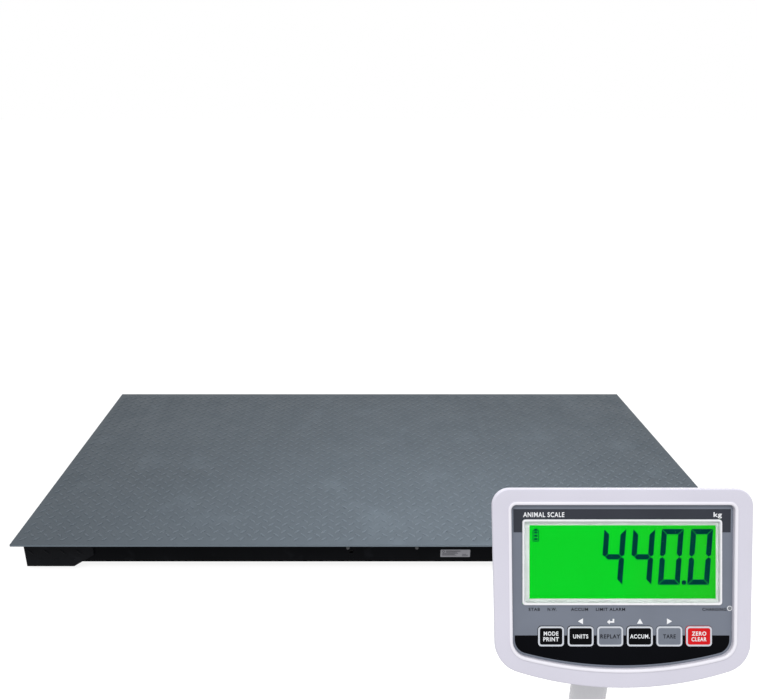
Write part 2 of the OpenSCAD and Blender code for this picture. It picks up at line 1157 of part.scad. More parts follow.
// The rocker of the power switch on its pin, pressed in at one end
module power_switch() {
    rocker_w = 12;
    color("black")
        at_face()
            translate([switch_x, switch_y, rocker_z])
                rotate([10, 0, 0])
                    rotate([90, 0, 90]) {
                        translate([0, 0, -rocker_w / 2])
                            linear_extrude(rocker_w)
                                polygon([[-8.8, 2], [8.8, 2], [8.8, -4], [0, -5.2], [-8.8, -4]]);
                        translate([0, 0, -8])
                            cylinder(r = pin_r, h = 16);
                    }
}

deck_plate();
front_beam();
rear_beam();
left_beam();
right_beam();
cross_ribs();
corner_cover_front_left();
corner_cover_front_right();
corner_cover_rear_left();
corner_cover_rear_right();
load_cell_front_left();
load_cell_front_right();
load_cell_rear_left();
load_cell_rear_right();
load_cell_seats();
load_cell_bolts();
foot_lock_nuts();
foot_stem_front_left();
foot_stem_front_right();
foot_stem_rear_left();
foot_stem_rear_right();
foot_pad_front_left();
foot_pad_front_right();
foot_pad_rear_left();
foot_pad_rear_right();
junction_box();
junction_lid();
junction_board();
junction_screws();
junction_glands();
load_cell_cables();
cable_clips();
rating_plate();
front_screws();
stand_base();
stand_column();
stand_feet();
stand_bolts();
tilt_bracket();
left_knob();
right_knob();
front_housing();
rear_housing();
housing_seal();
panel_overlay();
display_bezel();
display_window();
lcd_panel();
main_board();
key_board();
key_mode();
key_units();
key_replay();
key_accumulate();
key_tare();
key_zero();
battery_pack();
housing_screws();
terminal_glands();
power_switch();
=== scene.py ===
"""Looks of the animal weighing scale: tread-plate platform, and its terminal on a floor column."""

import json
import math

import bmesh
import bpy
from mathutils import Matrix, Vector


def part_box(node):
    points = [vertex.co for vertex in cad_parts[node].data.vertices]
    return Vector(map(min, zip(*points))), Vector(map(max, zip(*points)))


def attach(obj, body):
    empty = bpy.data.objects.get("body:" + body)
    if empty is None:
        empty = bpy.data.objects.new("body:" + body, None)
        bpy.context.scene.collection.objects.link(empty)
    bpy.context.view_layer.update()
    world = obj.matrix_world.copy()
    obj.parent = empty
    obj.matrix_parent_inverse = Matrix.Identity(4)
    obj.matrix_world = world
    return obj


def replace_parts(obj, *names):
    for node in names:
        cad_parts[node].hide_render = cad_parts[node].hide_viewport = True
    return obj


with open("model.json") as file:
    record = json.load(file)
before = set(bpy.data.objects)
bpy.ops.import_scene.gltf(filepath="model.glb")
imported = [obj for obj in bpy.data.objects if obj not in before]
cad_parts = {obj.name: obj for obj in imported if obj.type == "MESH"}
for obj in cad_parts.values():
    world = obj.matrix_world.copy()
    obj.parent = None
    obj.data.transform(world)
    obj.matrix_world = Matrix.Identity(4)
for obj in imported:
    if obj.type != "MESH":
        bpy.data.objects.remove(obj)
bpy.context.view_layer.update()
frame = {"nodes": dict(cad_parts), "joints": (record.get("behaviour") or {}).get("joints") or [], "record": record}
nodes = frame["nodes"]
joint = {j["name"]: j for j in frame["joints"]}
MM = 0.001

# ---- places, from the frame ----

TILT = math.radians(20.4)  # how far the face leans back
PIVOT_BACK = 44 * MM  # the tilt pivot behind the face
pivot = Vector(joint["terminal_tilt"]["pos_m"])
face_normal = Vector((0, -math.cos(TILT), math.sin(TILT)))
face_centre = pivot + face_normal * PIVOT_BACK
FACE = Matrix.Translation(face_centre) @ Matrix.Rotation(math.pi / 2 - TILT, 4, "X") @ Matrix.Scale(MM, 4)
deck_low, deck_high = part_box("deck_plate")

# Places, sizes and heights on the face are in millimetres: x right, y up, z out of the bezel's plane.
BACK_Z = -25  # the front housing's back edge
BED_BACK_Z = -6.5  # the back of the panel's bed
PANEL_Z = -3.7  # the panel's bed
FILM_TOP = -3.2
SHELL_WALL = 3
SHELL_SHIFT_X = 0.5
PANEL_SHIFT_X = 0.6
WINDOW = (0.6, 24.1, 189.4, 78.8)  # centre and size of the display window
LCD = (2.3, 23.4, 181.8, 71.7)
KEY_SIZE = (25.3, 19.6)
KEY_Y = -47.7
KEY_FIRST_X = -68.5
KEY_PITCH = 28.7
LAMP = (105.0, -20.7)
BACK_SCALE = 0.96  # the front housing's back edge against its front edge
KEYS = (
    ("key_mode", "key_black", (("MODE", 14.2), ("PRINT", 15.0))),
    ("key_units", "key_black", (("UNITS", 14.6),)),
    ("key_replay", "key_grey", (("REPLAY", 19.2),)),
    ("key_accumulate", "key_black", (("ACCUM.", 19.0),)),
    ("key_tare", "key_grey", (("TARE", 12.2),)),
    ("key_zero", "key_red", (("ZERO", 14.0), ("CLEAR", 14.6))),
)

# ---- camera, lights and floor ----

FOCAL_PX = 700
SENSOR_MM = 36
PICTURE_W = 757
CAMERA_PITCH = math.radians(20.4)
CAMERA_X = -0.077
CAMERA_FORWARD = 1.5914  # in front of the deck's edge
CAMERA_ABOVE = 1.1545  # over the deck's top
FLOOR_SIZE = 30
FLOOR_GLOW = 0.88
# Painted shade: the floor's weaker glow under the platform
FLOOR_GLOW_PAINTED_SHADE = 0.45
FLOOR_UNDER_INSET = 0.08  # the painted shade, a weaker glow, stops this far inside the deck's outline
# Painted shade: the floor has no glow behind the cable opening at this x, so the opening reads dark
CABLE_OPENING_X = -0.075


def make_camera():
    data = bpy.data.cameras.new("camera")
    data.sensor_width = SENSOR_MM
    data.lens = FOCAL_PX * SENSOR_MM / PICTURE_W
    data.shift_x = 0.0370
    data.shift_y = 0.0006
    data.clip_start = 0.02
    data.clip_end = 100
    camera = bpy.data.objects.new("camera", data)
    bpy.context.scene.collection.objects.link(camera)
    camera.location = (CAMERA_X, deck_low.y - CAMERA_FORWARD, deck_high.z + CAMERA_ABOVE)
    camera.rotation_euler = (math.pi / 2 - CAMERA_PITCH, 0, 0)
    bpy.context.scene.camera = camera


def area_light(name, place, target, size, watts, spread_deg=180):
    data = bpy.data.lights.new(name, "AREA")
    data.shape = "RECTANGLE"
    data.size, data.size_y = size
    data.energy = watts
    data.spread = math.radians(spread_deg)
    light = bpy.data.objects.new(name, data)
    bpy.context.scene.collection.objects.link(light)
    light.location = place
    aim = Vector(target) - Vector(place)
    light.rotation_euler = aim.to_track_quat("-Z", "Y").to_euler()


def outside(tree, centre, half, low, high):
    """A value that is low over a rectangle of the floor and high outside it."""
    split = tree.nodes.new("ShaderNodeSeparateXYZ")
    tree.links.new(tree.nodes.new("ShaderNodeTexCoord").outputs["Object"], split.inputs[0])

    def math_node(operation, a, b):
        made = tree.nodes.new("ShaderNodeMath")
        made.operation = operation
        for socket, value in zip(made.inputs, (a, b)):
            if isinstance(value, float):
                socket.default_value = value
            else:
                tree.links.new(value, socket)
        return made.outputs[0]

    reach = []
    for axis in (0, 1):
        away = math_node("SUBTRACT", split.outputs[axis], centre[axis])
        reach.append(math_node("DIVIDE", math_node("ABSOLUTE", away, 0.0), half[axis]))
    step = tree.nodes.new("ShaderNodeMapRange")
    step.inputs["From Min"].default_value = 1.0
    step.inputs["From Max"].default_value = 1.02
    step.inputs["To Min"].default_value = low
    step.inputs["To Max"].default_value = high
    tree.links.new(math_node("MAXIMUM", *reach), step.inputs["Value"])
    return step.outputs["Result"]


def floor_glow(tree, shader):
    """Painted shade on the floor: the glow is weaker under the platform, and none behind the cable opening, so
    that it stays dark.
    """
    middle = (deck_low + deck_high) / 2
    half = (deck_high - deck_low) / 2
    reach = (half.x - FLOOR_UNDER_INSET, half.y - FLOOR_UNDER_INSET)
    under = outside(tree, middle, reach, FLOOR_GLOW_PAINTED_SHADE, FLOOR_GLOW)
    # painted shade behind the cable opening
    opening = (CABLE_OPENING_X, deck_low.y + 0.11)
    behind = outside(tree, opening, (0.06, 0.05), 0.0, FLOOR_GLOW)
    least = tree.nodes.new("ShaderNodeMath")
    least.operation = "MINIMUM"
    tree.links.new(under, least.inputs[0])
    tree.links.new(behind, least.inputs[1])
    tree.links.new(least.outputs[0], shader.inputs["Emission Strength"])


def see_through_from_below(tree, shader):
    """Leaves the underside of the object in sight from under the floor."""
    side = tree.nodes.new("ShaderNodeNewGeometry").outputs["Backfacing"]
    clear = tree.nodes.new("ShaderNodeBsdfTransparent").outputs["BSDF"]
    both = tree.nodes.new("ShaderNodeMixShader")
    tree.links.new(side, both.inputs[0])
    tree.links.new(shader.outputs["BSDF"], both.inputs[1])
    tree.links.new(clear, both.inputs[2])
    tree.links.new(both.outputs[0], tree.nodes["Material Output"].inputs["Surface"])


def make_world():
    world = bpy.data.worlds.new("studio")
    bpy.context.scene.world = world
    world.use_nodes = True
    world.node_tree.nodes["Background"].inputs["Color"].default_value = (1, 1, 1, 1)
    world.node_tree.nodes["Background"].inputs["Strength"].default_value = 1.0
    bpy.context.scene.view_settings.view_transform = "Standard"


def make_sun():
    data = bpy.data.lights.new("soft_key", "SUN")
    data.energy = 2.0
    data.angle = math.radians(24)
    sun = bpy.data.objects.new("soft_key", data)
    bpy.context.scene.collection.objects.link(sun)
    sun.rotation_euler = Vector((0.25, 0.55, -1.0)).to_track_quat("-Z", "Y").to_euler()


def make_floor():
    data = bpy.data.meshes.new("floor")
    far = FLOOR_SIZE
    data.from_pydata([(-far, -far, 0), (far, -far, 0), (far, far, 0), (-far, far, 0)], [], [(0, 1, 2, 3)])
    floor = bpy.data.objects.new("floor", data)
    bpy.context.scene.collection.objects.link(floor)
    paper = bpy.data.materials.new("floor_paper")
    paper.use_nodes = True
    shader = paper.node_tree.nodes["Principled BSDF"]
    shader.inputs["Base Color"].default_value = (0.12, 0.12, 0.12, 1)
    shader.inputs["Emission Color"].default_value = (1, 1, 1, 1)
    floor_glow(paper.node_tree, shader)
    shader.inputs["Roughness"].default_value = 0.9
    shader.inputs["Specular IOR Level"].default_value = 0.1
    see_through_from_below(paper.node_tree, shader)
    data.materials.append(paper)


def make_studio():
    make_world()
    make_sun()
    area_light("deck_light", (-0.1, -0.35, 2.0), (-0.1, 0.25, 0), (2.6, 0.7), 12)
    area_light("deck_front_light", (0.25, -0.25, 1.9), (0.25, 0.05, 0), (0.7, 0.3), 20, spread_deg=90)
    make_floor()


# ---- materials ----


def rgba(color):
    return (*color, 1)


def shade(color, factor):
    return tuple(min(1, c * factor) for c in color)


class Finish:
    """A procedural material: colour that varies, roughness that varies, and fine bump."""

    def __init__(self, name, color, rough, metal=0.0, specular=0.5, coat=0.0):
        self.material = bpy.data.materials.new(name)
        self.material.use_nodes = True
        self.tree = self.material.node_tree
        self.shader = self.tree.nodes["Principled BSDF"]
        self.shader.inputs["Metallic"].default_value = metal
        self.shader.inputs["Specular IOR Level"].default_value = specular
        self.shader.inputs["Coat Weight"].default_value = coat
        self.shader.inputs["Base Color"].default_value = rgba(color)
        self.shader.inputs["Roughness"].default_value = rough
        self.color = color
        self.rough = rough
        self.place = self.node("ShaderNodeTexCoord").outputs["Object"]
        self.tint = None
        self.normal = None

    def node(self, kind, **values):
        made = self.tree.nodes.new(kind)
        for name, value in values.items():
            setattr(made, name, value)
        return made

    def link(self, a, b):
        self.tree.links.new(a, b)

    def noise(self, scale, detail=4.0, stretch=(1, 1, 1)):
        """Noise over the object, with features of about 1 / scale metres."""
        mapping = self.node("ShaderNodeMapping")
        mapping.inputs["Scale"].default_value = stretch
        texture = self.node("ShaderNodeTexNoise")
        texture.inputs["Scale"].default_value = scale
        texture.inputs["Detail"].default_value = detail
        self.link(self.place, mapping.inputs["Vector"])
        self.link(mapping.outputs["Vector"], texture.inputs["Vector"])
        return texture.outputs["Fac"]

    def ramp(self, value, low, high):
        """0 below low, 1 above high."""
        made = self.node("ShaderNodeMapRange")
        made.inputs["From Min"].default_value = low
        made.inputs["From Max"].default_value = high
        self.link(value, made.inputs["Value"])
        return made.outputs["Result"]

    def mix_color(self, factor, a, b):
        made = self.node("ShaderNodeMix", data_type="RGBA")
        self.link(factor, made.inputs["Factor"])
        for socket, value in ((6, a), (7, b)):
            if isinstance(value, tuple):
                made.inputs[socket].default_value = rgba(value)
            else:
                self.link(value, made.inputs[socket])
        return made.outputs[2]

    def vary(self, amount, scale, stretch=(1, 1, 1)):
        factor = self.ramp(self.noise(scale, stretch=stretch), 0.3, 0.7)
        a = self.tint or shade(self.color, 1 - amount)
        b = shade(self.color, 1 + amount)
        self.tint = self.mix_color(factor, a, b)
        self.link(self.tint, self.shader.inputs["Base Color"])
        return self

    def spots(self, color, scale, low, high, stretch=(1, 1, 1)):
        """Patches of another colour, such as dust or wear, where the noise is high."""
        factor = self.ramp(self.noise(scale, detail=8, stretch=stretch), low, high)
        self.tint = self.mix_color(factor, self.tint or self.color, color)
        self.link(self.tint, self.shader.inputs["Base Color"])
        return self

    def rough_vary(self, amount, scale, stretch=(1, 1, 1)):
        made = self.node("ShaderNodeMapRange")
        made.inputs["From Min"].default_value = 0.3
        made.inputs["From Max"].default_value = 0.7
        made.inputs["To Min"].default_value = max(0.02, self.rough - amount)
        made.inputs["To Max"].default_value = min(1, self.rough + amount)
        self.link(self.noise(scale, stretch=stretch), made.inputs["Value"])
        self.link(made.outputs["Result"], self.shader.inputs["Roughness"])
        return self

    def bump(self, scale, depth_mm, strength=0.5, stretch=(1, 1, 1)):
        made = self.node("ShaderNodeBump")
        made.inputs["Distance"].default_value = depth_mm * MM
        made.inputs["Strength"].default_value = strength
        self.link(self.noise(scale, detail=2, stretch=stretch), made.inputs["Height"])
        if self.normal:
            self.link(self.normal, made.inputs["Normal"])
        self.normal = made.outputs["Normal"]
        self.link(self.normal, self.shader.inputs["Normal"])
        return self

    def soft_edges(self, radius_mm):
        """Lets the light see the sharp edges of a machined or moulded part as slightly rounded."""
        made = self.node("ShaderNodeBevel", samples=4)
        made.inputs["Radius"].default_value = radius_mm * MM
        self.normal = made.outputs["Normal"]
        self.link(self.normal, self.shader.inputs["Normal"])
        return self

    def above(self, height, span, color):
        """Another colour above a height: on the tread's lug tops, wear where shoes and hooves have polished the
        paint, and a painted highlight.
        """
        split = self.node("ShaderNodeSeparateXYZ")
        self.link(self.place, split.inputs[0])
        factor = self.ramp(split.outputs["Z"], height, height + span)
        self.tint = self.mix_color(factor, self.tint or self.color, color)
        self.link(self.tint, self.shader.inputs["Base Color"])
        return self

    def below(self, height, span, color):
        """Another colour below a height: painted light, making the deck plate's edge faces and underside lighter
        because the lamps reach them less.
        """
        split = self.node("ShaderNodeSeparateXYZ")
        self.link(self.place, split.inputs[0])
        factor = self.ramp(split.outputs["Z"], height - span, height)
        self.tint = self.mix_color(factor, color, self.tint or self.color)
        self.link(self.tint, self.shader.inputs["Base Color"])
        return self

    def glow(self, color, strength, far_color=None, reach=(0, 1)):
        """An even light. With far_color it turns to that colour along X, between the two places in reach, as a
        painted glare.
        """
        self.shader.inputs["Emission Color"].default_value = rgba(color)
        self.shader.inputs["Emission Strength"].default_value = strength
        if far_color:
            split = self.node("ShaderNodeSeparateXYZ")
            self.link(self.place, split.inputs[0])
            blend = self.mix_color(self.ramp(split.outputs["X"], *reach), color, far_color)
            self.link(blend, self.shader.inputs["Emission Color"])
        return self


def make_finishes():
    deck = (0.0362, 0.0446, 0.0530)
    black = (0.0026, 0.0028, 0.0034)
    made = {}

    def add(name, color, rough, **more):
        made[name] = Finish(name, color, rough, **more)
        return made[name]

    (add("deck_paint", deck, 0.42, specular=0.14).soft_edges(1.2)
        .vary(0.10, 1.6, (1, 2, 1)).vary(0.06, 35)
        .spots(shade(deck, 1.35), 7, 0.58, 0.80)
        .spots(shade(deck, 0.72), 90, 0.66, 0.74)
        # Lug tops lighter: wear polish, and a painted highlight on the lugs
        .above(deck_high.z + 0.5 * MM, 0.6 * MM, shade(deck, 1.32))
        # Painted light: the plate's edge faces and underside, below its top, 2.1 times lighter
        .below(deck_high.z - 0.2 * MM, 0.3 * MM, shade(deck, 2.1))
        .rough_vary(0.09, 12).bump(900, 0.12, 0.35))
    (add("frame_paint", black, 0.38, specular=0.012).soft_edges(1.5)
        .vary(0.25, 6).spots(shade(black, 2.6), 18, 0.60, 0.82)
        .rough_vary(0.10, 14).bump(700, 0.15, 0.4))
    # Painted light: the corner covers' paint is a lighter copy of the frame's black paint
    (add("cover_paint_painted_lighter", shade(black, 1.7), 0.36, specular=0.025).soft_edges(1.5)
        .vary(0.25, 6).spots(shade(black, 4), 18, 0.60, 0.82)
        .rough_vary(0.10, 14).bump(700, 0.15, 0.4))
    (add("rib_paint", (0.006, 0.0063, 0.007), 0.5, specular=0.08).soft_edges(1)
        .vary(0.25, 9).spots((0.016, 0.015, 0.014), 25, 0.6, 0.8)
        .rough_vary(0.1, 20).bump(600, 0.15, 0.4))
    (add("zinc", (0.40, 0.41, 0.42), 0.32, metal=1.0).soft_edges(0.4)
        .vary(0.14, 160).rough_vary(0.1, 300).bump(900, 0.05, 0.4))
    (add("screw_dark", (0.035, 0.036, 0.038), 0.4, metal=0.4).soft_edges(0.4)
        .vary(0.2, 160).rough_vary(0.1, 300).bump(900, 0.05, 0.4))
    (add("cell_alloy", (0.42, 0.43, 0.44), 0.30, metal=1.0).soft_edges(0.8)
        .vary(0.07, 60, (1, 6, 6)).rough_vary(0.09, 90, (1, 12, 12))
        .bump(500, 0.04, 0.4, (1, 10, 10)))
    (add("pad_rubber", (0.008, 0.008, 0.0085), 0.72, specular=0.1).soft_edges(0.8)
        .vary(0.2, 60).spots((0.028, 0.026, 0.024), 50, 0.62, 0.85)
        .rough_vary(0.08, 90).bump(1200, 0.08, 0.5))
    (add("cable_jacket", (0.006, 0.006, 0.0065), 0.5, specular=0.1)
        .vary(0.2, 80).rough_vary(0.08, 120).bump(1500, 0.04, 0.4))
    (add("box_plastic", (0.30, 0.31, 0.32), 0.45, specular=0.25).soft_edges(0.8)
        .vary(0.05, 30).spots((0.22, 0.22, 0.21), 40, 0.62, 0.85)
        .rough_vary(0.07, 60).bump(1400, 0.05, 0.4))
    (add("gland_plastic", (0.012, 0.0125, 0.014), 0.45, specular=0.15).soft_edges(0.4)
        .vary(0.15, 120).rough_vary(0.08, 200).bump(1800, 0.04, 0.4))
    (add("board", (0.006, 0.06, 0.022), 0.35, specular=0.3)
        .vary(0.25, 260).spots((0.5, 0.42, 0.2), 420, 0.66, 0.68)
        .rough_vary(0.08, 300).bump(900, 0.05, 0.4))
    (add("label_foil", (0.165, 0.165, 0.182), 0.36, metal=0.25, specular=0.3)
        .vary(0.06, 120, (1, 8, 8)).rough_vary(0.08, 200).bump(1500, 0.02, 0.3))
    (add("stand_paint", (0.48, 0.48, 0.505), 0.40, specular=0.25).soft_edges(1)
        .vary(0.03, 8).spots((0.39, 0.39, 0.41), 22, 0.64, 0.86)
        .rough_vary(0.07, 30).bump(1300, 0.06, 0.45))
    (add("bracket_paint", (0.018, 0.019, 0.021), 0.42, specular=0.15).soft_edges(0.6)
        .vary(0.12, 40).rough_vary(0.08, 60).bump(1500, 0.06, 0.5))
    (add("knob_plastic", (0.006, 0.006, 0.007), 0.40, specular=0.15).soft_edges(0.6)
        .vary(0.15, 90).rough_vary(0.08, 120).bump(1600, 0.05, 0.4))
    (add("housing_plastic", (0.462, 0.452, 0.517), 0.42, specular=0.2).soft_edges(0.8)
        .vary(0.022, 14).spots((0.395, 0.385, 0.44), 70, 0.70, 0.92)
        .rough_vary(0.06, 45).bump(2600, 0.04, 0.35))
    # Painted highlight: a lighter copy of the housing plastic for the rim's crest
    (add("rim_painted_highlight", (0.58, 0.57, 0.62), 0.36, specular=0.25).soft_edges(0.4)
        .vary(0.02, 14).rough_vary(0.06, 45).bump(2600, 0.03, 0.3))
    (add("seal_rubber", (0.010, 0.010, 0.011), 0.7, specular=0.1)
        .vary(0.2, 90).rough_vary(0.08, 150).bump(1500, 0.05, 0.4))
    (add("film_mid", (0.126, 0.140, 0.173), 0.40, specular=0.12)
        .vary(0.05, 18).rough_vary(0.05, 60).bump(4200, 0.012, 0.3))
    (add("film_dark", (0.0282, 0.0307, 0.0395), 0.40, specular=0.08)
        .vary(0.08, 18).rough_vary(0.05, 60).bump(4200, 0.012, 0.3))
    (add("film_black", (0.0014, 0.0016, 0.0026), 0.36, specular=0.03)
        .vary(0.2, 18).rough_vary(0.05, 60).bump(4200, 0.012, 0.3))
    (add("print_white", (0.60, 0.61, 0.63), 0.45, specular=0.1)
        .vary(0.03, 300).rough_vary(0.05, 400).bump(4200, 0.01, 0.3))
    (add("print_dark", (0.014, 0.015, 0.020), 0.45, specular=0.1)
        .vary(0.1, 300).rough_vary(0.05, 400).bump(4200, 0.01, 0.3))
    (add("print_pale", (0.42, 0.44, 0.48), 0.42, specular=0.1)
        .vary(0.04, 200).rough_vary(0.05, 300).bump(4200, 0.01, 0.3))
    (add("bezel_plastic", (0.60, 0.60, 0.625), 0.28, specular=0.3).soft_edges(0.3)
        .vary(0.02, 40).rough_vary(0.06, 90).bump(2600, 0.02, 0.3))
    (add("lcd_frame", (0.58, 0.60, 0.61), 0.35, specular=0.1)
        .vary(0.05, 60).rough_vary(0.06, 100).bump(2600, 0.02, 0.3))
    # The display's backlight glow; its change of green along X, towards the right, is painted glare
    (add("lcd_green", (0.001, 0.06, 0.004), 0.30, specular=0.0)
        .vary(0.06, 25).rough_vary(0.05, 80).bump(3000, 0.01, 0.2)
        .glow((0.003, 0.56, 0.016), 1.0, (0.014, 0.45, 0.013), (face_centre.x, face_centre.x + 90 * MM)))
    (add("lcd_digit", (0.0005, 0.016, 0.016), 0.35, specular=0.0)
        .vary(0.1, 90).rough_vary(0.05, 120).bump(3000, 0.01, 0.2).glow((0.0, 0.022, 0.020), 1.0))
    (add("key_black", (0.0014, 0.0016, 0.0022), 0.34, specular=0.04)
        .vary(0.2, 120).rough_vary(0.06, 200).bump(3800, 0.015, 0.35))
    (add("key_grey", (0.122, 0.136, 0.166), 0.38, specular=0.12)
        .vary(0.05, 120).rough_vary(0.06, 200).bump(3800, 0.015, 0.35))
    (add("key_red", (0.45, 0.008, 0.010), 0.34, specular=0.06)
        .vary(0.05, 120).rough_vary(0.06, 200).bump(3800, 0.015, 0.35))
    (add("battery_case", (0.010, 0.011, 0.014), 0.35, specular=0.2)
        .vary(0.2, 60).rough_vary(0.08, 80).bump(900, 0.06, 0.4))
    (add("lamp_off", (0.16, 0.17, 0.19), 0.15, specular=0.2).vary(0.1, 900).rough_vary(0.04, 900))
    window = add("window_clear", (0.97, 1.0, 0.97), 0.03, specular=0.3)
    window.shader.inputs["Transmission Weight"].default_value = 1.0
    window.shader.inputs["IOR"].default_value = 1.04
    window.bump(500, 0.004, 0.1)
    return {name: finish.material for name, finish in made.items()}


# ---- mesh helpers ----


def add_mesh(name, verts, faces, body, finish, smooth_deg=35, place=None):
    """A mesh piece that rides on a body. place takes its points from their own frame to the row frame."""
    data = bpy.data.meshes.new(name)
    data.from_pydata([tuple(v) for v in verts], [], faces)
    if place is not None:
        data.transform(place)
    clean = bmesh.new()
    clean.from_mesh(data)
    bmesh.ops.recalc_face_normals(clean, faces=clean.faces)
    clean.to_mesh(data)
    clean.free()
    data.polygons.foreach_set("use_smooth", [True] * len(data.polygons))
    data.set_sharp_from_angle(angle=math.radians(smooth_deg))
    data.materials.append(finishes[finish])
    piece = bpy.data.objects.new(name, data)
    bpy.context.scene.collection.objects.link(piece)
    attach(piece, body)
    return piece


def loft(rings, cap_start=False, cap_end=False, closed=False):
    """Faces that join rings of equal counts. closed joins the last ring to the first."""
    count = len(rings[0])
    verts = [p for ring in rings for p in ring]
    faces = []
    last = len(rings) if closed else len(rings) - 1
    for r in range(last):
        a = r * count
        b = ((r + 1) % len(rings)) * count
        faces += [(a + i, a + (i + 1) % count, b + (i + 1) % count, b + i) for i in range(count)]
    if cap_start:
        faces.append(tuple(reversed(range(count))))
    if cap_end:
        faces.append(tuple(range((len(rings) - 1) * count, len(rings) * count)))
    return verts, faces


def arc(x, y, r, start, end, steps, ends=True):
    """Points on an arc, angles in degrees."""
    span = range(0, steps + 1) if ends else range(1, steps)
    angles = [math.radians(start + (end - start) * i / steps) for i in span]
    return [(x + r * math.cos(a), y + r * math.sin(a)) for a in angles]


def face_points(half, top, low, r_top, r_low, r_arch, lean):
    """The terminal's kind of outline: round corners, sides leaning in a little, an arched lower edge."""
    x_low = half - lean - r_low
    arch_y = low + r_arch
    y_low = arch_y - math.sqrt((r_arch - r_low) ** 2 - x_low**2)
    swing = math.degrees(math.asin(x_low / (r_arch - r_low)))
    x_top, y_top = half - r_top, top - r_top
    dip = 1.5
    corner, arch = 14, 40
    return (
        arc(x_top, y_top, r_top, -dip, 90, corner)
        + arc(-x_top, y_top, r_top, 90, 180 + dip, corner)
        + arc(-x_low, y_low, r_low, 180 + dip, 270 - swing, corner)
        + arc(0, arch_y, r_arch, 270 - swing, 270 + swing, arch, ends=False)
        + arc(x_low, y_low, r_low, 270 + swing, 360 - dip, corner)
    )


def shell_outline(inset):
    """The housing's edge. It is wider than the CAD housing's and leans less, as in the photo."""
    points = face_points(126.3 - inset, 96 - inset, -97 + inset, 17 - inset, 30 - inset, 345 - inset, 2.6)
    return [(x + SHELL_SHIFT_X, y) for x, y in points]


def panel_outline(grow):
    points = face_points(108.1 + grow, 80.2 + grow, -78.6 - grow, 5 + grow, 16 + grow, 380 + grow, 1.4)
    return [(x + PANEL_SHIFT_X, y) for x, y in points]


def round_rect(x, y, w, h, r, steps=6):
    cx, cy = w / 2 - r, h / 2 - r
    points = []
    for sx, sy, start in ((1, 1, 0), (-1, 1, 90), (-1, -1, 180), (1, -1, 270)):
        points += arc(x + sx * cx, y + sy * cy, r, start, start + 90, steps)
    return points


def at_height(points, z):
    return [(p[0], p[1], z) for p in points]


def plate(outlines, low, high):
    """A flat sheet between two heights on the face. The first outline is its edge, the others are holes."""
    curve = bpy.data.curves.new("sheet", "CURVE")
    curve.dimensions = "2D"
    curve.fill_mode = "BOTH"
    curve.extrude = (high - low) / 2
    for outline in outlines:
        spline = curve.splines.new("POLY")
        spline.points.add(len(outline) - 1)
        for point, (x, y) in zip(spline.points, outline):
            point.co = (x, y, 0, 1)
        spline.use_cyclic_u = True
    holder = bpy.data.objects.new("sheet", curve)
    bpy.context.scene.collection.objects.link(holder)
    bpy.context.view_layer.update()
    data = bpy.data.meshes.new_from_object(holder)
    bpy.data.objects.remove(holder)
    verts = [(v.co.x, v.co.y, v.co.z + (low + high) / 2) for v in data.vertices]
    faces = [tuple(p.vertices) for p in data.polygons]
    bpy.data.meshes.remove(data)
    return verts, faces


def joined(*parts):
    """Several (verts, faces) as one."""
    verts, faces = [], []
    for part_verts, part_faces in parts:
        start = len(verts)
        verts += part_verts
        faces += [tuple(i + start for i in f) for f in part_faces]
    return verts, faces


def on_face(name, part, body, finish, smooth_deg=35):
    verts, faces = part
    return add_mesh(name, verts, faces, body, finish, smooth_deg, FACE)


def lettering(text, x, y, width, height, z, weight=0.022, depth=0.08):
    """Flat letters on the face, fitted to a width and height about a centre."""
    curve = bpy.data.curves.new("letters", "FONT")
    curve.body = text
    curve.offset = weight
    curve.space_character = 1.14
    curve.extrude = depth / 2
    curve.resolution_u = 4
    holder = bpy.data.objects.new("letters", curve)
    bpy.context.scene.collection.objects.link(holder)
    bpy.context.view_layer.update()
    data = bpy.data.meshes.new_from_object(holder)
    bpy.data.objects.remove(holder)
    low = [min(v.co[i] for v in data.vertices) for i in (0, 1)]
    high = [max(v.co[i] for v in data.vertices) for i in (0, 1)]
    sx, sy = width / (high[0] - low[0]), height / (high[1] - low[1])
    mx, my = (low[0] + high[0]) / 2, (low[1] + high[1]) / 2
    verts = [(x + (v.co.x - mx) * sx, y + (v.co.y - my) * sy, v.co.z + z) for v in data.vertices]
    faces = [tuple(p.vertices) for p in data.polygons]
    bpy.data.meshes.remove(data)
    return verts, faces


# ---- platform ----


def lug_shape(length, width, height, steps=10):
    """A raised lug of tread plate, pointed at both ends, along X."""
    def lens(scale, z):
        points = []
        for i in range(steps):
            a = 2 * math.pi * i / steps
            x = math.cos(a)
            y = (1 - x * x) ** 0.8 * (1 if math.sin(a) >= 0 else -1)
            points.append((scale * length / 2 * x, scale * width / 2 * y, z))
        return points

    return loft([lens(1.0, -0.3), lens(0.92, 0.35 * height), lens(0.72, 0.85 * height), lens(0.35, height)],
                cap_start=True, cap_end=True)


def spread(shape, places):
    """Copies of a shape in millimetres at (x, y, turn in degrees)."""
    parts_verts, parts_faces = [], []
    verts, faces = shape
    for x, y, turn in places:
        c, s = math.cos(math.radians(turn)), math.sin(math.radians(turn))
        start = len(parts_verts)
        parts_verts += [(x + c * v[0] - s * v[1], y + s * v[0] + c * v[1], v[2]) for v in verts]
        parts_faces += [tuple(i + start for i in f) for f in faces]
    return parts_verts, parts_faces


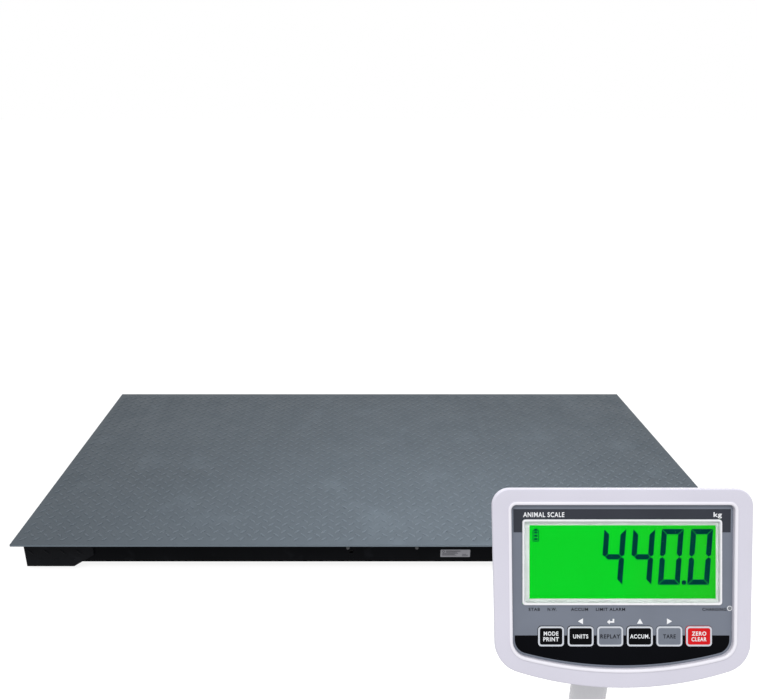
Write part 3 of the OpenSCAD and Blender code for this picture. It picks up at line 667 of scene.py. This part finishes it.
def make_tread():
    """The deck's raised lugs, in rows that lean one way and the other by turns."""
    pitch_x, pitch_y = 37.5, 34.5
    margin = 14
    width = (deck_high.x - deck_low.x) / MM
    depth = (deck_high.y - deck_low.y) / MM
    places = []
    for row in range(int(2 * depth / pitch_y) + 2):
        y = row * pitch_y / 2 + 9
        shift = (row % 2) * pitch_x / 2
        for column in range(int(width / pitch_x) + 2):
            x = column * pitch_x + shift + 6
            if margin < x < width - margin and margin < y < depth - margin:
                places.append((x, y, 45 if row % 2 else -45))
    verts, faces = spread(lug_shape(25, 7.5, 1.5), places)
    place = Matrix.Translation((deck_low.x, deck_low.y, deck_high.z)) @ Matrix.Scale(MM, 4)
    add_mesh("tread_lugs", verts, faces, "platform", "deck_paint", smooth_deg=50, place=place)


def make_cover_lugs():
    """Lugs on both faces of the four corner covers."""
    row_z = (57.5, 30.5)
    pitch = 44.7
    shape = lug_shape(24, 7, 1.3)
    for corner in ("front_left", "front_right", "rear_left", "rear_right"):
        low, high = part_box("corner_cover_" + corner)
        front, left = "front" in corner, "left" in corner
        places = []
        for row, z in enumerate(row_z):
            reach = 170 if row == 0 else 140
            x = 16 + (row % 2) * pitch / 2
            while x < reach:
                places.append((x, z, 45 if row % 2 else -45))
                x += pitch
        verts, faces = spread(shape, places)
        sx = 1 if left else -1
        sy = 1 if front else -1
        x0 = low.x if left else high.x
        y0 = low.y if front else high.y
        face_front = [(x0 + sx * v[0] * MM, y0 - sy * v[2] * MM, v[1] * MM) for v in verts]
        face_side = [(x0 - sx * v[2] * MM, y0 + sy * v[0] * MM, v[1] * MM) for v in verts]
        both_verts, both_faces = joined((face_front, faces), (face_side, faces))
        add_mesh("cover_lugs_" + corner, both_verts, both_faces, "platform", "cover_paint_painted_lighter", 50)


def make_rating_plate():
    """Rows of plain bars stand for the plate's print."""
    low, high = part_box("rating_plate")
    upright = Matrix.Rotation(math.pi / 2, 4, "X")
    place = Matrix.Translation((low.x, low.y, low.z)) @ upright @ Matrix.Scale(MM, 4)

    def bar(x, y, w, h):
        return loft([at_height(round_rect(x + w / 2, y + h / 2, w, h, 0.3, 2), z) for z in (0.0, 0.12)],
                    cap_start=True, cap_end=True)

    bars = [bar(15, 18.4, 40, 2.0), bar(15, 14.8, 31, 1.4), bar(4, 11.1, 44, 1.2), bar(4, 8.2, 36, 1.2),
            bar(4, 5.3, 40, 1.2), bar(60, 3.4, 16, 1.0), bar(60, 6, 16, 1.0), bar(60, 8.6, 11, 1.0)]
    ring = plate([round_rect(8, 18, 7, 7, 3.49, 8), round_rect(8, 18, 4.4, 4.4, 2.19, 8)], 0, 0.12)
    verts, faces = joined(*bars, ring)
    add_mesh("rating_print", verts, faces, "platform", "print_dark", place=place)


# ---- terminal ----


def make_front_shell():
    """The housing's tapered sides, rounded front edge, raised rim and sunk panel bed."""
    edge = 1.6
    back = [(x * BACK_SCALE, y * BACK_SCALE) for x, y in shell_outline(0)]
    rings = [at_height(back, BACK_Z), at_height(shell_outline(0), -5), at_height(shell_outline(0), -edge)]
    for step in range(1, 7):
        a = math.radians(90 * step / 6)
        rings.append(at_height(shell_outline(edge * (1 - math.cos(a))), -edge * (1 - math.sin(a))))
    for grow, z in ((4.4, 0.0), (3.7, 0.02), (3.3, 0.2), (3.0, 0.7), (2.5, 1.0), (1.7, 1.1), (0.9, 1.0),
                    (0.35, 0.6), (0.05, 0.0), (0, -0.8), (0, PANEL_Z), (-2.5, PANEL_Z), (-2.5, BED_BACK_Z)):
        rings.append(at_height(panel_outline(grow), z))
    inner = [(x * BACK_SCALE, y * BACK_SCALE) for x, y in shell_outline(SHELL_WALL)]
    rings += [at_height(shell_outline(SHELL_WALL), BED_BACK_Z), at_height(inner, BACK_Z)]
    shell = on_face("front_shell", loft(rings, closed=True), "terminal", "housing_plastic", smooth_deg=40)
    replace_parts(shell, "front_housing")
    # The rim's crest, a thin lighter skin over the shell's rim: a painted highlight
    crest = [(3.2, 0.3), (3.0, 0.76), (2.5, 1.07), (1.7, 1.17), (0.9, 1.07), (0.3, 0.66), (0.0, 0.04),
             (-0.06, -0.8), (0.3, -0.9), (2.9, -0.3)]
    rings = [at_height(panel_outline(grow), z) for grow, z in crest]
    on_face("panel_rim", loft(rings, closed=True), "terminal", "rim_painted_highlight", 50)


def key_centres():
    return [KEY_FIRST_X + i * KEY_PITCH for i in range(len(KEYS))]


def key_holes():
    w, h = KEY_SIZE
    return [round_rect(x, KEY_Y, w + 0.6, h + 0.6, 3.7) for x in key_centres()]


def clip_outline(outline, y_low, y_high):
    """The part of a convex outline between two heights."""
    def cut(points, limit, keep_above):
        out = []
        for i, p in enumerate(points):
            q = points[(i + 1) % len(points)]
            p_in = p[1] >= limit if keep_above else p[1] <= limit
            q_in = q[1] >= limit if keep_above else q[1] <= limit
            if p_in:
                out.append(p)
            if p_in != q_in:
                t = (limit - p[1]) / (q[1] - p[1])
                out.append((p[0] + t * (q[0] - p[0]), limit))
        return out

    return cut(cut(outline, y_low, True), y_high, False)


def carve(points, cuts, level):
    """An outline with a straight edge at a height, after notches are cut into that edge."""
    def edge_start(outline):
        n = len(outline)
        flat = [i for i in range(n)
                if abs(outline[i][1] - level) < 1e-6 and abs(outline[(i + 1) % n][1] - level) < 1e-6]
        return flat[0]

    i = edge_start(points)
    n = len(points)
    forward = points[(i + 1) % n][0] > points[i][0]
    walk = [points[i]]
    for cut in sorted(cuts, key=lambda c: min(p[0] for p in c), reverse=not forward):
        k = edge_start(cut)
        loop = [cut[(k + 1 + j) % len(cut)] for j in range(len(cut))]
        if (loop[0][0] < loop[-1][0]) != forward:
            loop.reverse()
        walk += loop
    return walk + [points[(i + 1 + j) % n] for j in range(n - 1)]


def make_panel():
    """The printed film: a grey ground, a dark band at the top and a black field at the bottom."""
    x, y, w, h = WINDOW
    bezel_hole = round_rect(x, y, w + 4.6, h + 4.6, 3.1)
    lamp_hole = round_rect(*LAMP, 3.6, 3.6, 1.79)
    film = plate([panel_outline(-0.3), bezel_hole, lamp_hole, *key_holes()], PANEL_Z, FILM_TOP)
    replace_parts(on_face("panel_film", film, "terminal", "film_mid"), "panel_overlay")
    inside = panel_outline(-2.5)
    top = FILM_TOP + 0.06
    band_low, foot_high = 53, -47
    far = 200  # past every outline
    band = carve(clip_outline(inside, band_low, 75.6), [clip_outline(bezel_hole, band_low, far)], band_low)
    keys = [clip_outline(k, -far, foot_high) for k in key_holes()]
    foot = carve(clip_outline(inside, -far, foot_high), keys, foot_high)
    on_face("print_band", plate([band], FILM_TOP, top), "terminal", "film_dark")
    on_face("print_foot", plate([foot], FILM_TOP, top), "terminal", "film_black")


def make_display():
    """The white frame round the window, the pale surround of the display, and its figures."""
    x, y, w, h = WINDOW
    rings = []
    for grow, z in ((2.1, PANEL_Z), (2.1, -2.3), (1.8, -1.9), (1.2, -1.7), (0.6, -1.8), (0.15, -2.2),
                    (0, -3.0), (0, -6.3), (2.1, -6.3)):
        r = 3 - (2.1 - grow) * 0.7
        rings.append(at_height(round_rect(x, y, w + 2 * grow, h + 2 * grow, r, 8), z))
    bezel = on_face("display_frame", loft(rings, closed=True), "terminal", "bezel_plastic", smooth_deg=50)
    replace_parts(bezel, "display_bezel")
    outer, inner = round_rect(x, y, w - 0.1, h - 0.1, 0.8), round_rect(*LCD, 0.4)
    rings = [at_height(outer, -5.3), at_height(inner, -6.0), at_height(inner, -6.5), at_height(outer, -6.5)]
    on_face("lcd_surround", loft(rings, closed=True), "terminal", "lcd_frame")
    make_digits()


SEGMENTS = {"0": "abcdef", "4": "fgbc"}


def segment_outlines(x, y, w, h, t, lit, slant):
    """The lit bars of a seven-segment digit with its centre at x, y, as outlines with mitred ends."""
    gap = 0.25
    hw, hh = w / 2, h / 2
    bars = {
        "a": [(-hw + gap, hh), (hw - gap, hh), (hw - t - gap, hh - t), (-hw + t + gap, hh - t)],
        "d": [(-hw + t + gap, -hh + t), (hw - t - gap, -hh + t), (hw - gap, -hh), (-hw + gap, -hh)],
        "g": [(-hw + t / 2 + gap, 0), (-hw + t + gap, t / 2), (hw - t - gap, t / 2), (hw - t / 2 - gap, 0),
              (hw - t - gap, -t / 2), (-hw + t + gap, -t / 2)],
        "f": [(-hw, hh - gap), (-hw + t, hh - t - gap), (-hw + t, t / 2 + gap), (-hw + t / 2, gap),
              (-hw, gap + t * 0.3)],
        "b": [(hw, hh - gap), (hw, gap + t * 0.3), (hw - t / 2, gap), (hw - t, t / 2 + gap),
              (hw - t, hh - t - gap)],
        "e": [(-hw, -hh + gap), (-hw, -gap - t * 0.3), (-hw + t / 2, -gap), (-hw + t, -t / 2 - gap),
              (-hw + t, -hh + t + gap)],
        "c": [(hw, -hh + gap), (hw - t, -hh + t + gap), (hw - t, -t / 2 - gap), (hw - t / 2, -gap),
              (hw, -gap - t * 0.3)],
    }
    return [[(x + px + slant * py, y + py) for px, py in bars[name]] for name in lit]


def make_digits():
    """The shown weight, the decimal point and the battery sign."""
    low, high = -5.98, -5.9
    digit_y, digit_w, digit_h, bar_w, slant = 28.4, 21.4, 54.4, 5.2, 0.075
    shapes = []
    for text, x in (("4", -6.9), ("4", 21.4), ("0", 49.2), ("0", 77.7)):
        shapes += segment_outlines(x, digit_y, digit_w, digit_h, bar_w, SEGMENTS[text], slant)
    shapes.append(round_rect(62.0, 3.4, 4.4, 4.4, 1.6))
    bx, by = -82.4, 49.0
    for i in range(3):
        shapes.append(round_rect(bx, by + 3.2 - i * 3.2, 3.2, 1.9, 0.2))
    shapes.append(round_rect(bx, by + 6.2, 2.8, 1.2, 0.2))
    sign = plate([round_rect(bx, by, 6.2, 11.2, 0.8), round_rect(bx, by, 4.8, 9.8, 0.5)], low, high)
    bars = [loft([at_height(s, low), at_height(s, high)], cap_start=True, cap_end=True) for s in shapes]
    on_face("lcd_figures", joined(*bars, sign), "terminal", "lcd_digit")


def make_key(index):
    """A key's cap, its printed outline and its words, all on the key's own body."""
    name, finish, words = KEYS[index]
    x = key_centres()[index]
    w, h = KEY_SIZE
    rings = []
    for inset, z in ((-1.4, -8.2), (-1.4, -7.1), (0, -7.0), (0, -3.0), (0.25, -2.72), (0.7, -2.58),
                     (2.2, -2.56), (2.6, -2.64), (3.6, -2.62), (6.0, -2.52)):
        rings.append(at_height(round_rect(x, KEY_Y, w - 2 * inset, h - 2 * inset, max(0.9, 3.4 - inset)), z))
    cap = on_face(name + "_cap", loft(rings, cap_start=True, cap_end=True), name, finish, smooth_deg=50)
    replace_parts(cap, name)
    ring = [round_rect(x, KEY_Y, w - 0.3, h - 0.3, 3.3), round_rect(x, KEY_Y, w - 3.5, h - 3.5, 1.9)]
    line = plate(ring, -2.66, -2.50)
    on_face(name + "_outline", line, name, "print_pale")
    lines = []
    for i, (word, width) in enumerate(words):
        y = KEY_Y + (0.5 * (len(words) - 1) - i) * 5.5
        lines.append(lettering(word, x, y, width, 4.0, -2.46))
    ink = "print_dark" if finish == "key_grey" else "print_white"
    on_face(name + "_legend", joined(*lines), name, ink)


def triangle(x, y, size, turn):
    points = []
    for a in (0, 120, 240):
        b = math.radians(a + turn)
        points.append((x + size * math.cos(b), y + size * math.sin(b)))
    return points


def make_print():
    """Generic words and signs printed on the film, and the charging lamp's lens."""
    z = FILM_TOP + 0.09
    white = [
        lettering("ANIMAL SCALE", -75.4, 70.2, 40.0, 4.8, z),
        lettering("kg", 93.4, 69.6, 8.0, 6.0, z),
    ]
    signs = [triangle(-39.0, -33.3, 3.3, 180), triangle(17.9, -34.0, 3.3, 90), triangle(45.8, -33.3, 3.3, 0)]
    signs.append([(-14.0, -33.9), (-11.4, -31.5), (-11.4, -33.1), (-8.6, -33.1), (-8.6, -30.9),
                  (-7.0, -30.9), (-7.0, -34.7), (-11.4, -34.7), (-11.4, -36.3)])
    low, high = z - 0.03, z + 0.03
    for outline in signs:
        white.append(loft([at_height(outline, low), at_height(outline, high)], cap_start=True, cap_end=True))
    rings = [round_rect(*LAMP, d, d, d / 2 - 0.01, 8) for d in (4.9, 3.7)]
    white.append(plate(rings, low, high))
    on_face("print_white", joined(*white), "terminal", "print_white")
    labels = (("STAB", -84.6, 11.0), ("N.W.", -67.3, 8.8), ("ACCUM", -40.7, 16.6),
              ("LIMIT ALARM", -10.6, 28.4), ("CHARGING", 90.2, 23.4))
    dark = [lettering(word, x, -21.7, width, 3.0, z) for word, x, width in labels]
    on_face("print_dark", joined(*dark), "terminal", "print_dark")
    lamp = [at_height(round_rect(*LAMP, 2 * r, 2 * r, r * 0.999, 6), h)
            for r, h in ((1.7, -6.0), (1.7, -3.3), (1.45, -2.85), (0.9, -2.6), (0.3, -2.5))]
    lens = loft(lamp, cap_start=True, cap_end=True)
    on_face("charging_lamp", lens, "terminal", "lamp_off", smooth_deg=60)


# ---- carried-over CAD pieces ----


def dress_frame():
    """Every CAD node takes the finish of its slot, apart from the corner covers, which take a lighter copy of the
    frame's black paint as painted light, and the front screws.
    """
    slots = {row["node"]: row["material_slot"] for row in frame["record"]["subparts"]}
    stand_in = {"panel_film": "film_mid"}
    for name, piece in nodes.items():
        finish = "cover_paint_painted_lighter" if name.startswith("corner_cover_") else slots[name]
        if name == "front_screws":
            finish = "screw_dark"
        material = finishes[stand_in.get(finish, finish)]
        piece.data.materials.clear()
        piece.data.materials.append(material)


make_camera()
make_studio()
finishes = make_finishes()
dress_frame()
make_tread()
make_cover_lugs()
make_rating_plate()
make_front_shell()
make_panel()
make_display()
for number in range(len(KEYS)):
    make_key(number)
make_print()
